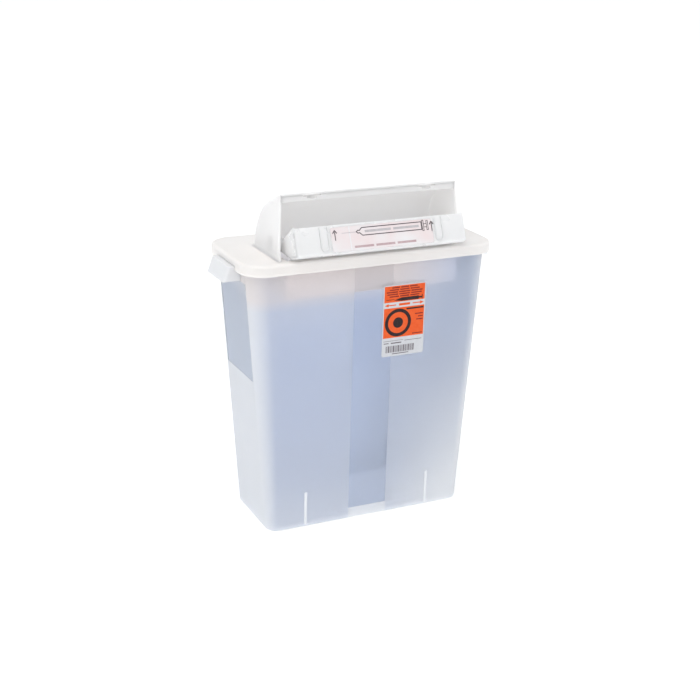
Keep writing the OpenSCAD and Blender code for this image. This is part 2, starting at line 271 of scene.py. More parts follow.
def piece(name, verts, faces, materials, body="container", slot=None, face_materials=None,
          smooth=35):
    """Makes an object from points in millimetres and rides it on a body."""
    mesh = bpy.data.meshes.new(name)
    mesh.from_pydata([Vector(v) * MM for v in verts], [], faces)
    for material in materials:
        mesh.materials.append(material)
    if face_materials:
        mesh.polygons.foreach_set("material_index", face_materials)
    bm = bmesh.new()
    bm.from_mesh(mesh)
    bmesh.ops.recalc_face_normals(bm, faces=bm.faces)
    bm.to_mesh(mesh)
    bm.free()
    obj = bpy.data.objects.new(name, mesh)
    bpy.context.scene.collection.objects.link(obj)
    mesh.shade_smooth()
    mesh.set_sharp_from_angle(angle=math.radians(smooth))
    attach(obj, body)
    return obj


def bevel(obj, width, segments=3, angle=35):
    modifier = obj.modifiers.new("edge", "BEVEL")
    modifier.width = width * MM
    modifier.segments = segments
    modifier.limit_method = "ANGLE"
    modifier.angle_limit = math.radians(angle)
    modifier.harden_normals = True


def thicken(obj, thickness):
    """Gives a sheet its wall thickness, on the side away from its normals."""
    modifier = obj.modifiers.new("wall", "SOLIDIFY")
    modifier.thickness = thickness * MM
    modifier.offset = -1
    modifier.use_even_offset = True
    modifier.use_quality_normals = True


def dress(node, material, width=0.0, segments=2):
    """Gives a CAD node its material and, with a width, rounds its sharp edges."""
    obj = NODES[node]
    obj.data.materials.clear()
    obj.data.materials.append(material)
    obj.data.shade_smooth()
    obj.data.set_sharp_from_angle(angle=math.radians(30))
    if width:
        bevel(obj, width, segments)


def lerp(a, b, t):
    return a + (b - a) * t


def grid_faces(rows, columns, wrap=False, start=0):
    """Quads between rows of points that were added one row after another."""
    faces = []
    for i in range(rows - 1):
        for j in range(columns if wrap else columns - 1):
            k = (j + 1) % columns
            low, high = start + i * columns, start + (i + 1) * columns
            faces.append((low + j, low + k, high + k, high + j))
    return faces


def along(points, value):
    """Value of a broken line given as (position, value) pairs in rising order."""
    for (a, low), (b, high) in zip(points, points[1:]):
        if value <= b:
            return lerp(low, high, max(0.0, (value - a) / (b - a)))
    return points[-1][1]


def lathe(name, profile, centre, material, body, slot, steps=48):
    """Turns a closed (x, radius) profile round an axis along X, and mirrors it to both sides."""
    verts, faces = [], []
    for side in (-1, 1):
        start = len(verts)
        for i in range(steps):
            a = 2 * math.pi * i / steps
            for x, radius in profile:
                verts.append((side * x, centre[0] + radius * math.cos(a),
                              centre[1] + radius * math.sin(a)))
        count = len(profile)
        for i in range(steps):
            for j in range(count):
                low, high = start + i * count, start + (i + 1) % steps * count
                k = (j + 1) % count
                faces.append((low + j, low + k, high + k, high + j))
    return piece(name, verts, faces, [material], body, slot)


# ---------- tub ----------

def tub_size(z):
    t = z / RIM_Z
    return lerp(BASE_W, TOP_W, t) / 2, lerp(BASE_D, TOP_D, t) / 2


def outline(half_w, half_d, inset, shift_y=0.0):
    """Points round a rounded rectangle, in columns that follow the window and the end panels."""
    half_w, half_d = half_w - inset, half_d - inset
    radius = half_d - FLAT_HALF
    flat_x = half_w - radius
    right = [WINDOW_HALF, WINDOW_HALF + STEP] + [flat_x - d for d in reversed(FADE)] + [flat_x]
    front = [-x for x in reversed(right)] + right
    top = [FLAT_HALF - d for d in reversed(FADE[:2])] + [FLAT_HALF - STEP, FLAT_HALF]
    side = [-y for y in reversed(top)] + top
    corner = [math.pi / 2 * i / CORNER_STEPS for i in range(1, CORNER_STEPS)]
    points = [(x, -half_d) for x in front]
    points += [(flat_x + radius * math.sin(a), -FLAT_HALF - radius * math.cos(a)) for a in corner]
    points += [(half_w, y) for y in side]
    points += [(flat_x + radius * math.cos(a), FLAT_HALF + radius * math.sin(a)) for a in corner]
    points += [(-x, half_d) for x in front]
    points += [(-flat_x - radius * math.sin(a), FLAT_HALF + radius * math.cos(a)) for a in corner]
    points += [(-half_w, -y) for y in side]
    points += [(-flat_x - radius * math.cos(a), -FLAT_HALF - radius * math.sin(a)) for a in corner]
    return [(x, y + shift_y) for x, y in points]


def recess(x, y, z, half_w, half_d):
    """Moves points of the clear window and the clear end panels inward."""
    if abs(x) <= WINDOW_HALF + NEAR and y < -half_d + 1 and z >= WINDOW_LOW + STEP - NEAR:
        return x, y + RECESS
    in_panel = PANEL_Z[0] + STEP - NEAR <= z <= PANEL_Z[1] - STEP + NEAR
    if abs(y) <= FLAT_HALF - STEP + NEAR and abs(x) > half_w - 1 and in_panel:
        return x - math.copysign(RECESS, x), y
    return x, y


def clamp(value):
    return min(1.0, max(0.0, value))


def fade(value, start, end):
    """0 at start, changing evenly to 1 at end, and held beyond both."""
    return clamp((value - start) / (end - start))


def milkiness_and_painted_light(x, y, z):
    """How milky the tub looks round its corners, near its foot and towards its top on the left,
    plus painted light: its right side is painted lighter, most towards the foot.
    """
    if abs(x) <= WINDOW_HALF + NEAR and y < 0:
        return fade(z, *WINDOW_FADE)
    half_w, half_d = tub_size(z)
    radius = half_d - FLAT_HALF
    turn = clamp((abs(x) - half_w + radius) / radius)
    near = clamp((abs(x) - half_w + radius + FADE[-1]) / FADE[-1])
    corner = along(CORNER_MILK, turn) if turn > 0 else CORNER_MILK[0][1] * near ** 2
    foot = FOOT_MILK * fade(z, *FOOT_FADE) + HEEL_MILK * fade(z, *HEEL_FADE)
    top = TOP_MILK * fade(z, *TOP_FADE) * fade(x, *TOP_ACROSS)
    # Painted light: the right-hand side is painted lighter, fading out up the walls
    painted_light_side = SIDE_PAINTED_LIGHT * fade(x, *SIDE_ACROSS) * fade(z, *SIDE_FADE)
    return clamp(max(corner, foot, top) + painted_light_side)


def painted_warm_light_share(x, y, z):
    """Share of painted warm light on the front wall just under the lid: a warm colour painted in
    place of warm light from the lid.
    """
    return PAINTED_WARM_MOST * fade(z, *PAINTED_WARM_FADE) * fade(x, *PAINTED_WARM_ACROSS) if y < 0 else 0.0


def paint_tub(obj):
    """Stores on each point how milky the plastic looks there, with painted light added, and how
    much painted warm light it takes.
    """
    mesh = obj.data
    for name, rule in (("milk_and_painted_light", milkiness_and_painted_light), ("painted_warm_light", painted_warm_light_share)):
        attribute = mesh.attributes.new(name, "FLOAT", "POINT")
        attribute.data.foreach_set("value", [rule(*(v.co / MM)) for v in mesh.vertices])


def tub_rings():
    """Rings of points, each with its height, up the outside of the tub and down its inside.

    Also gives how many of them, from the foot up, stand below the flange.
    """
    turns = [math.pi / 2 * i / FOOT_STEPS for i in range(FOOT_STEPS + 1)]
    rings = []
    for a in turns:
        z = FOOT_R * (1 - math.cos(a))
        rings.append((outline(*tub_size(z), FOOT_R * (1 - math.sin(a))), z))
    for z in WALL_LEVELS:
        half_w, half_d = tub_size(z)
        rings.append(([recess(x, y, z, half_w, half_d) for x, y in outline(half_w, half_d, 0)], z))
    outer = len(rings)
    rings += [(outline(*FLANGE, 0, LID_Y), z) for z in FLANGE_Z]
    rings += [(outline(*tub_size(z), 0), z) for z in (FLANGE_Z[1], RIM_Z)]
    rings += [(outline(*tub_size(z), WALL), z) for z in (RIM_Z, 250, 120, FLOOR + FOOT_R)]
    inner_foot = tub_size(FLOOR + FOOT_R)
    for a in turns[1:]:
        rings.append((outline(*inner_foot, WALL + FOOT_R * (1 - math.cos(a))),
                      FLOOR + FOOT_R * (1 - math.sin(a))))
    return rings, outer


def tub_kind(verts, face, in_outer_wall):
    """Which of the tub's plastics a face has: 0 frosted, 1 the window's, 2 the end panels'."""
    x, y, z = (sum(verts[v][k] for v in face) / 4 for k in range(3))
    if abs(x) < WINDOW_HALF and y < -50 and z > WINDOW_LOW + STEP / 2:
        return 1
    in_panel = abs(y) < FLAT_HALF and abs(x) > 100 and PANEL_Z[0] < z < PANEL_Z[1]
    return 2 if in_panel and in_outer_wall else 0


def make_tub(frosted, window_clear, clear):
    rings, outer = tub_rings()
    verts = [(x, y, z) for points, z in rings for x, y in points]
    rows, count = len(rings), len(rings[0][0])
    faces = grid_faces(rows, count, wrap=True)
    kinds = [tub_kind(verts, face, face[0] // count < outer) for face in faces]
    faces += [tuple(reversed(range(count))), tuple(range((rows - 1) * count, rows * count))]
    kinds += [0, 0]
    tub = piece("tub", verts, faces, [frosted, window_clear, clear], slot="tub_plastic",
                face_materials=kinds)
    paint_tub(tub)
    return tub


def grip_path(reach):
    """Plan of a grip, from the end wall round its outer face and back."""
    inner = tub_size(GRIP_Z[1])[0] - 1.0
    corner = [math.pi / 2 * i / 6 for i in range(7)]
    front = [(reach - GRIP_ROUND * (1 - math.sin(a)), -GRIP_HALF + GRIP_ROUND * (1 - math.cos(a)))
             for a in corner]
    half = [(inner, -GRIP_HALF)] + front
    return half + [(x, -y) for x, y in reversed(half)]


def make_grip(name, side, material):
    """A hand grip: an outer face that leans out, two end webs and a shelf on top."""
    verts = []
    for t in (0.0, 0.06, 0.5, 1.0):
        z = lerp(*GRIP_Z, t)
        lip = 0.5 if t < 0.05 else 0.0
        for x, y in grip_path(lerp(*GRIP_REACH, t) + lip):
            verts.append((side * x, y, z))
    count = len(grip_path(0))
    faces = grid_faces(4, count) + [tuple(range(3 * count, 4 * count))]
    grip = piece(name, verts, faces, [material], slot="tub_plastic")
    thicken(grip, WALL)
    bevel(grip, 0.5, 2, 50)


def on_wall(u, v, out):
    """Place on the tub's leaning front wall: u across, v up the wall, out from its face."""
    return (u, -BASE_D / 2 - v * math.sin(LEAN) - out * math.cos(LEAN),
            v * math.cos(LEAN) - out * math.sin(LEAN))


def make_ribs(material):
    """Stacking ribs near the foot: a soft ramp up to a narrow crest."""
    ramp = [(-2.8, -0.3), (-2.5, 0.0), (-1.5, 0.4), (-0.7, 1.0), (0.4, 1.0), (1.0, 0.6),
            (1.2, 0.0), (1.2, -0.3)]
    for side, facing in (("front", 1), ("back", -1)):
        verts, faces = [], []
        for centre in (-RIB_X, RIB_X):
            start = len(verts)
            for v, share in ((RIB_Z[0], 1.0), (RIB_Z[1] - 1.5, 1.0), (RIB_Z[1], 0.1)):
                for u, out in ramp:
                    x, y, z = on_wall(centre + u, v, out * share if out > 0 else out)
                    verts.append((x * facing, y * facing, z))
            count = len(ramp)
            faces += grid_faces(3, count, wrap=True, start=start)
            faces += [tuple(start + i for i in range(count)),
                      tuple(start + 2 * count + i for i in range(count))]
        piece("ribs_" + side, verts, faces, [material], slot="tub_plastic", smooth=60)


# ---------- hood ----------

def hood_rows():
    """Rows up the hood's outer skin, from its back foot over the bend to its front rim.

    Each row is a point, the direction out of the skin and the rounding of the side edges.
    """
    slope = (math.sin(ROOF_SLOPE), math.cos(ROOF_SLOPE))
    bend_y = HOOD_BACK - BEND_R
    bend_z = ROOF_Z - (BEND_R + (bend_y - HOOD_FRONT) * slope[0]) / slope[1]
    rows = []
    for share in (0.0, 0.12, 0.3, 0.55, 0.8, 1.0):
        rise = FLARE * share
        out = FLARE - math.sqrt(FLARE ** 2 - (FLARE - rise) ** 2)
        rows.append(((HOOD_BACK + out, DECK_Z + rise), (1.0, 0.0), EDGE_R + out, out))
    for step in range(BEND_STEPS + 1):
        a = (math.pi / 2 - ROOF_SLOPE) * step / BEND_STEPS
        way = (math.cos(a), math.sin(a))
        rows.append(((bend_y + BEND_R * way[0], bend_z + BEND_R * way[1]), way, EDGE_R, 0.0))
    rim_back = HOOD_FRONT + RIM_DEPTH
    for y, lift, radius in ((rim_back + 1, 0, EDGE_R), (rim_back, 0.2, EDGE_R),
                            (rim_back - 1, RIM_STEP - 0.1, 2.6), (rim_back - 2, RIM_STEP, 2.3),
                            (HOOD_FRONT + 4, RIM_STEP, 2.1), (HOOD_FRONT, RIM_STEP, FRONT_R)):
        z = ROOF_Z - (y - HOOD_FRONT) * math.tan(ROOF_SLOPE) + lift
        rows.append(((y, z), slope, radius, 0.0))
    return rows


def half_width(z):
    return HOOD_HALF - (z - DECK_Z) * math.tan(HOOD_DRAFT)


def hood_row(point, way, radius, flare):
    """One row of the hood, from the front of its right cheek over the back to the left's."""
    arc_steps, cheek_steps, across = 6, 7, 8
    heart = (point[0] - radius * way[0], point[1] - radius * way[1])
    wide = half_width(max(heart[1], DECK_Z)) + flare
    front = along(CHEEK_EDGE, heart[1])
    right = [(wide, lerp(front, heart[0], m / cheek_steps), heart[1]) for m in range(cheek_steps)]
    for i in range(arc_steps + 1):
        a = math.pi / 2 * (1 - i / arc_steps)
        right.append((wide - radius * (1 - math.sin(a)), heart[0] + radius * way[0] * math.cos(a),
                      heart[1] + radius * way[1] * math.cos(a)))
    edge = right[-1]
    middle = [(edge[0] * (1 - 2 * i / across), edge[1], edge[2]) for i in range(1, across)]
    return right + middle + [(-x, y, z) for x, y, z in reversed(right)]


def make_hood(material):
    rows = [hood_row(*row) for row in hood_rows()]
    verts = [point for row in rows for point in row]
    hood = piece("hood_shell", verts, grid_faces(len(rows), len(rows[0])), [material],
                 slot="hood_plastic")
    thicken(hood, HOOD_T)
    bevel(hood, 0.35, 2, 50)
    return hood


def plate_with_holes(xs, zs, solid, place):
    """A plate made of grid cells, without the cells for which solid(x, z) is false."""
    verts, faces, index = [], [], {}

    def corner(i, j, back):
        key = (i, j, back)
        if key not in index:
            index[key] = len(verts)
            verts.append(place(xs[i], zs[j], back))
        return index[key]

    def filled(i, j):
        inside = 0 <= i < len(xs) - 1 and 0 <= j < len(zs) - 1
        return inside and solid((xs[i] + xs[i + 1]) / 2, (zs[j] + zs[j + 1]) / 2)

    for i in range(len(xs) - 1):
        for j in range(len(zs) - 1):
            if not filled(i, j):
                continue
            loop = [(i, j), (i + 1, j), (i + 1, j + 1), (i, j + 1)]
            faces.append([corner(*c, 0) for c in loop])
            faces.append([corner(*c, 1) for c in reversed(loop)])
            beside = [(i, j - 1), (i + 1, j), (i, j + 1), (i - 1, j)]
            for a, b, near in zip(loop, loop[1:] + loop[:1], beside):
                if not filled(*near):
                    faces.append([corner(*a, 0), corner(*a, 1), corner(*b, 1), corner(*b, 0)])
    return verts, faces


def make_band(material):
    """The lip under the hood's front edge, with a T-shaped catch slot near each end."""
    end = half_width(BAND_LOW) - HOOD_T + 0.4
    right = [SLOT_X - SLOT_HALF[0], SLOT_X - SLOT_HALF[1], SLOT_X + SLOT_HALF[1],
             SLOT_X + SLOT_HALF[0], end]
    xs = [-x for x in reversed(right)] + right
    zs = [BAND_LOW, *SLOT_Z, HOOD_Z - 0.5]

    def solid(x, z):
        off = abs(abs(x) - SLOT_X)
        upper = SLOT_Z[1] < z < SLOT_Z[2] and off < SLOT_HALF[0]
        lower = SLOT_Z[0] < z < SLOT_Z[1] and off < SLOT_HALF[1]
        return not (upper or lower)

    def place(x, z, back):
        return x, along(CHEEK_EDGE, z) + 0.12 + back * HOOD_T, z

    band = piece("hood_band", *plate_with_holes(xs, zs, solid, place), [material],
                 slot="hood_plastic")
    bevel(band, 0.35, 2, 50)


def make_bosses(material):
    """Two small blocks on the roof behind the catch slots."""
    verts, faces = [], []
    for centre in (-SLOT_X, SLOT_X):
        start = len(verts)
        for lift, shrink in ((-1.2, 0.0), (BOSS[2] * 0.6, 0.0), (BOSS[2], 0.7)):
            for sx, sy in ((-1, -1), (1, -1), (1, 1), (-1, 1)):
                y = BOSS_Y + sy * (BOSS[1] - shrink)
                roof = ROOF_Z - (y - HOOD_FRONT) * math.tan(ROOF_SLOPE)
                verts.append((centre + sx * (BOSS[0] - shrink), y, roof + lift))
        faces += grid_faces(3, 4, wrap=True, start=start)
        faces += [tuple(start + i for i in range(4)), tuple(start + 8 + i for i in range(4))]
    bosses = piece("hood_bosses", verts, faces, [material], slot="hood_plastic")
    bevel(bosses, 0.6, 3, 30)


# ---------- tray ----------

def rounded(points, radius, steps=5):
    """A broken line with its inner corners rounded off."""
    result = [Vector(points[0])]
    for before, here, after in zip(points, points[1:], points[2:]):
        here = Vector(here)
        to_before, to_after = Vector(before) - here, Vector(after) - here
        reach = min(radius, to_before.length * 0.4, to_after.length * 0.4)
        first, last = here + to_before.normalized() * reach, here + to_after.normalized() * reach
        for i in range(steps + 1):
            t = i / steps
            result.append(first.lerp(here, t).lerp(here.lerp(last, t), t))
    result.append(Vector(points[-1]))
    return result


def tray_rows():
    """Points down the outside of the tray's panel and along its underside, with directions out."""
    line = rounded([PANEL_TOP, PANEL_FOOT, PANEL_LIP, *TRAY_FLOOR], 4.0)
    rows = []
    for i, point in enumerate(line):
        run = line[min(i + 1, len(line) - 1)] - line[max(i - 1, 0)]
        run.normalize()
        rows.append((point, Vector((run.y, -run.x))))
    return rows


def tray_skin(inset):
    """Rows of points over the tray's panel and floor, between its two end walls."""
    arc_steps, across = 5, 10
    radius = TRAY_R - inset
    skin = []
    for point, way in tray_rows():
        heart = point - way * TRAY_R
        right = []
        for i in range(arc_steps + 1):
            a = math.pi / 2 * (1 - i / arc_steps)
            y, z = heart + way * radius * math.cos(a)
            right.append((TRAY_HALF - TRAY_R + radius * math.sin(a), y, z))
        edge = right[-1]
        middle = [(edge[0] * (1 - 2 * i / across), edge[1], edge[2]) for i in range(1, across)]
        skin.append(right + middle + [(-x, y, z) for x, y, z in reversed(right)])
    return skin


def make_tray(material):
    """The tray's panel and floor in one curved sheet, with an outer and an inner skin."""
    outer, inner = tray_skin(0), tray_skin(TRAY_T)
    rows, count = len(outer), len(outer[0])
    verts = [point for skin in (outer, inner) for row in skin for point in row]
    under = rows * count
    faces = grid_faces(rows, count)
    faces += [tuple(reversed(face)) for face in grid_faces(rows, count, start=under)]
    rim = [row * count for row in range(rows)]
    rim += [(rows - 1) * count + j for j in range(1, count)]
    rim += [row * count + count - 1 for row in range(rows - 2, -1, -1)]
    rim += list(range(count - 2, 0, -1))
    for a, b in zip(rim, rim[1:] + rim[:1]):
        faces.append((a, b, under + b, under + a))
    tray = piece("tray_shell", verts, faces, [material], "tray", "tray_plastic")
    bevel(tray, 0.3, 2, 50)
    return tray


def make_tray_ends(material):
    """The tray's two end walls, which stand on the curved edges of its panel and floor."""
    rows = tray_rows()
    loop = [tuple(point - way * (TRAY_R - 1.2)) for point, way in rows] + list(TRAY_EDGE)
    count = len(loop)
    verts, faces = [], []
    for side in (-1, 1):
        start = len(verts)
        for x in (TRAY_HALF - 0.05, TRAY_HALF - TRAY_T):
            verts += [(side * x, y, z) for y, z in loop]
        faces += grid_faces(2, count, wrap=True, start=start)
        faces += [tuple(start + i for i in range(count)),
                  tuple(start + count + i for i in range(count))]
    ends = piece("tray_ends", verts, faces, [material], "tray", "tray_plastic")
    bevel(ends, 0.3, 2, 50)


def make_apron(material):
    """Curved skirt under the tray's floor, round the pivot."""
    verts = []
    steps = 12
    for i in range(steps + 1):
        a = math.radians(lerp(*APRON_TURN, i / steps))
        for x in (-TRAY_HALF + 2, 0, TRAY_HALF - 2):
            verts.append((x, PIVOT[0] + APRON_R * math.cos(a), PIVOT[1] + APRON_R * math.sin(a)))
    apron = piece("tray_apron", verts, grid_faces(steps + 1, 3), [material], "tray",
                  "tray_plastic")
    thicken(apron, TRAY_T * 0.8)
    bevel(apron, 0.4, 2, 50)


PANEL_WAY = (Vector(PANEL_FOOT) - Vector(PANEL_TOP)).normalized()
PANEL_OUT = Vector((PANEL_WAY.y, -PANEL_WAY.x))


def on_panel(u, v, out):
    """Place on the tray's front panel: u across, v down from its top edge, out from its face."""
    y, z = Vector(PANEL_TOP) + PANEL_WAY * v + PANEL_OUT * out
    return u, y, z


# ---------- flat prints ----------

class Plates:
    """Thin flat shapes on a surface, gathered into one mesh."""

    def __init__(self, place, base, top):
        self.place, self.base, self.top = place, base, top
        self.verts, self.faces = [], []

    def _ring(self, points, out):
        start = len(self.verts)
        self.verts += [self.place(u, v, out) for u, v in points]
        return list(range(start, len(self.verts)))

    def _sides(self, low, high):
        for i in range(len(low)):
            j = (i + 1) % len(low)
            self.faces.append((low[i], low[j], high[j], high[i]))

    def shape(self, points):
        low, high = self._ring(points, self.base), self._ring(points, self.top)
        self._sides(low, high)
        self.faces += [tuple(reversed(low)), tuple(high)]

    def bar(self, u0, v0, u1, v1):
        self.shape([(u0, v0), (u1, v0), (u1, v1), (u0, v1)])

    def words(self, u0, v0, u1, v1, lengths, gap):
        """A row of plain bars that stand in for a line of words."""
        unit = (u1 - u0 - gap * (len(lengths) - 1)) / sum(lengths)
        at = u0
        for length in lengths:
            self.bar(at, v0, at + length * unit, v1)
            at += length * unit + gap

    def frame(self, outer, inner):
        """The band between two closed outlines with the same number of points."""
        rings = [self._ring(points, out) for points, out in
                 ((outer, self.base), (outer, self.top), (inner, self.top), (inner, self.base))]
        for low, high in zip(rings, rings[1:] + rings[:1]):
            self._sides(low, high)

    def line(self, points, width, closed=False):
        """A line of even width through points."""
        left, right = [], []
        count = len(points)
        for i, here in enumerate(points):
            before = points[i - 1] if closed or i else None
            after = points[(i + 1) % count] if closed or i < count - 1 else None
            here = Vector(here)
            ways = [(here - Vector(before)).normalized()] if before else []
            ways += [(Vector(after) - here).normalized()] if after else []
            sides = [Vector((-way.y, way.x)) for way in ways]
            mean = sum(sides, Vector((0, 0))).normalized()
            reach = width / 2 / max(0.4, mean.dot(sides[0]))
            left.append(tuple(here + mean * reach))
            right.append(tuple(here - mean * reach))
        if closed:
            self.frame(left, right)
        else:
            self.shape(left + right[::-1])

    def finish(self, name, material, body, slot):
        return piece(name, self.verts, self.faces, [material], body, slot, smooth=20)


def circle(u, v, radius, steps=48):
    return [(u + radius * math.cos(2 * math.pi * i / steps),
             v + radius * math.sin(2 * math.pi * i / steps)) for i in range(steps)]


def rounded_box(u0, v0, u1, v1, radius, steps=5):
    points = []
    for u, v, start in ((u1 - radius, v1 - radius, 0), (u0 + radius, v1 - radius, 90),
                        (u0 + radius, v0 + radius, 180), (u1 - radius, v0 + radius, 270)):
        for i in range(steps + 1):
            a = math.radians(start + 90 * i / steps)
            points.append((u + radius * math.cos(a), v + radius * math.sin(a)))
    return points


def make_tongues(material):
    """Raised U-shaped rims of the two closing tongues on the tray's panel."""
    plates = Plates(on_panel, -0.4, 1.0)
    half = TONGUE_W / 2 - 0.8
    for centre in (-TONGUE_X, TONGUE_X):
        foot = [math.pi * i / 10 for i in range(11)]
        low = TONGUE_V[1] - half
        curve = [(centre - half * math.cos(a), low + half * math.sin(a)) for a in foot]
        plates.line([(centre - half, TONGUE_V[0])] + curve + [(centre + half, TONGUE_V[0])], 1.5)
    tongues = plates.finish("tray_tongues", material, "tray", "tray_plastic")
    bevel(tongues, 0.4, 2, 50)


def film_layer():
    """An empty print layer on the film."""
    return Plates(on_panel, FILM_OUT - INK_ROOT, FILM_OUT + PRINT_T)


def print_syringe(material):
    outline_ink = film_layer()
    body_line = [(-32.6, 10.1), (-30.6, 8.5), (-28.4, 8.7), (-25.2, 5.8), (50.4, 5.8),
                 (50.4, 14.6), (-25.2, 14.6), (-28.4, 11.5), (-30.6, 11.7)]
    outline_ink.line(body_line, 1.0, closed=True)
    outline_ink.line([(51.4, 4.2), (53.2, 4.2), (53.2, 16.2), (51.4, 16.2)], 0.7, closed=True)
    outline_ink.bar(53.6, 8.0, 56.6, 8.7)
    outline_ink.bar(53.6, 11.7, 56.6, 12.4)
    outline_ink.line([(57, 4.9), (58.8, 4.9), (58.8, 15.5), (57, 15.5)], 0.7, closed=True)
    outline_ink.finish("film_outline", material, "tray", "film_print")


def print_arrows(material):
    """Two arrows rooted in the panel, as the right one stands partly past the film."""
    arrows = Plates(on_panel, -0.1, FILM_OUT + PRINT_T + 0.02)
    for centre in (-59.2, 63.4):
        arrows.line([(centre - 2.6, 9.6), (centre, 6.4), (centre + 2.6, 9.6)], 1.1)
        arrows.bar(centre - 0.5, 8.2, centre + 0.5, 17.8)
    arrows.finish("film_arrows", material, "tray", "film_print")


def make_film(film, black, grey, red, edge):
    """Printed film on the tray's panel: a syringe outline, its needle, two arrows and bars."""
    sheet = Plates(on_panel, 0.02, 0.3)
    sheet.shape(rounded_box(-64, 3, 64, 31, 1.5))
    film_sheet = sheet.finish("film_sheet", film, "tray", "film_print")
    print_syringe(black)
    print_arrows(black)
    grey_ink = film_layer()
    grey_ink.bar(-50.7, 9.9, -33.4, 10.5)
    grey_ink.words(-22, 8.9, 47, 11.6, [1, 1], 3.0)
    grey_ink.finish("film_bars", grey, "tray", "film_print")
    red_ink = film_layer()
    red_ink.words(-37, 25.7, 41, 28.2, [1, 1, 1], 3.0)
    red_ink.finish("film_note", red, "tray", "film_print")
    seam = film_layer()
    seam.bar(-41.6, 3.2, -40.4, 30.8)
    seam.finish("film_seam", edge, "tray", "film_print")
    return film_sheet


def label_box():
    """The sticker's left, low, right and high edges on the front wall."""
    low, high = (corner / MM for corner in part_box("front_label"))
    return low.x, low.z / math.cos(LEAN), high.x, high.z / math.cos(LEAN)


def label_layer(lift=0.0):
    """An empty print layer on the sticker."""
    return Plates(on_wall, LABEL_OUT - INK_ROOT, LABEL_OUT + PRINT_T + lift)


def print_panels(material, u0, v0, u1, v1):
    """Two coloured panels, and on the strip between them two arrows and a bar."""
    left, right = u0 + LABEL_MARGIN[0], u1 - LABEL_MARGIN[1]
    panels = label_layer()
    panels.shape(rounded_box(left, v1 - 21.4, right, v1 - 1.3, 0.5))
    panels.shape(rounded_box(left, v0 + 23.6, right, v1 - 28.6, 0.5))
    middle = v1 - 25
    for tip, way in ((left + 0.8, 1), (right - 0.8, -1)):
        panels.shape([(tip, middle), (tip + way * 5, middle + 2), (tip + way * 5, middle + 0.6),
                      (tip + way * 15, middle + 0.6), (tip + way * 15, middle - 0.6),
                      (tip + way * 5, middle - 0.6), (tip + way * 5, middle - 2)])
    panels.bar(u0 + 21, middle - 1.4, u0 + 35.5, middle + 1.4)
    panels.finish("label_panels", material, "container", "label_print")


def print_notes(material, u0, v0, u1, v1):
    """Plain bars on both panels, where a sticker has its lines of words."""
    right = u1 - LABEL_MARGIN[1]
    notes = label_layer(OVER)
    for row, indent in enumerate((11, 8, 4, 5, 8)):
        v = v1 - 3.4 - row * 2.75
        notes.words(u0 + indent, v - 0.75, u0 + 55.5 - indent, v + 0.75, [1, 1, 1], 1.6)
    notes.bar(u0 + 43, v1 - 39.5, right - 1.2, v1 - 38.1)
    notes.bar(u0 + 47, v1 - 43.1, right - 1.2, v1 - 41.7)
    notes.bar(u0 + 45, v1 - 46.7, right - 1.2, v1 - 45.3)
    notes.bar(u0 + 40, v0 + 25.6, right - 1.6, v0 + 26.8)
    notes.finish("label_notes", material, "container", "label_print")


def print_marks(material, u0, v0, u1, v1):
    """A heavy bar, a syringe silhouette with its needle, and a ring with a dot."""
    marks = label_layer(OVER)
    marks.bar(u0 + 31, v1 - 32.3, u1 - LABEL_MARGIN[1] - 0.8, v1 - 30.4)
    marks.shape([(u0 + 14, v1 - 19.2), (u0 + 24, v1 - 16.4), (u0 + 47, v1 - 16.4),
                 (u0 + 47, v1 - 17.4), (u0 + 51, v1 - 17.4), (u0 + 51, v1 - 15.4),
                 (u0 + 52, v1 - 15.4), (u0 + 52, v1 - 21), (u0 + 51, v1 - 21),
                 (u0 + 51, v1 - 19.4), (u0 + 47, v1 - 19.4), (u0 + 47, v1 - 20.6),
                 (u0 + 24, v1 - 20.6)])
    centre = (u0 + 20.5, v0 + 42)
    marks.frame(circle(*centre, 17.4), circle(*centre, 13.2))
    marks.shape(circle(*centre, 6.6))
    marks.bar(u0 + 4, v1 - 18.3, u0 + 14.4, v1 - 17.7)
    marks.finish("label_marks", material, "container", "label_print")


def print_code(material, u0, v0):
    """Upright bars by a repeating rule, and plain lines round them."""
    code = label_layer()
    widths, gaps = (0.9, 0.5, 1.5, 0.5), (0.7, 0.9, 0.8)
    at, step = u0 + 5.5, 0
    while at < u0 + 43:
        code.bar(at, v0 + 4.8, at + widths[step % 4], v0 + 13.2)
        at += widths[step % 4] + gaps[step % 3]
        step += 1
    code.bar(u0 + 2.6, v0 + 16.2, u0 + 9, v0 + 17.2)
    code.bar(u0 + 12, v0 + 15.9, u0 + 26, v0 + 17.2)
    code.bar(u0 + 14, v0 + 2.5, u0 + 36, v0 + 3.4)
    code.bar(u0 + 2, v0 + 19.4, u0 + 28.4, v0 + 19.8)
    code.bar(u0 + 30, v0 + 18.2, u0 + 53, v0 + 18.8)
    code.finish("label_code", material, "container", "label_print")


def make_label(paper, orange, dark, maroon, grey):
    """Sticker on the front wall: a white backing with four layers of plain marks."""
    u0, v0, u1, v1 = label_box()
    backing = Plates(on_wall, 0.02, 0.3)
    backing.shape(rounded_box(u0, v0, u1, v1, 2.5))
    label = backing.finish("label_backing", paper, "container", "label_print")
    print_panels(orange, u0, v0, u1, v1)
    print_notes(maroon, u0, v0, u1, v1)
    print_marks(dark, u0, v0, u1, v1)
    print_code(grey, u0, v0)
    return label


# ---------- scene ----------

def make_stage():
    material, _, shader = new_material("floor_paint")
    shader.inputs["Base Color"].default_value = (0.9, 0.9, 0.9, 1)
    shader.inputs["Roughness"].default_value = 0.9
    shader.inputs["Emission Color"].default_value = (1, 1, 1, 1)
    shader.inputs["Emission Strength"].default_value = FLOOR_GLOW
    mesh = bpy.data.meshes.new("floor")
    half = 30.0
    mesh.from_pydata([(-half, -half, 0), (half, -half, 0), (half, half, 0), (-half, half, 0)],
                     [], [(0, 1, 2, 3)])
    mesh.materials.append(material)
    floor = bpy.data.objects.new("floor", mesh)
    bpy.context.scene.collection.objects.link(floor)


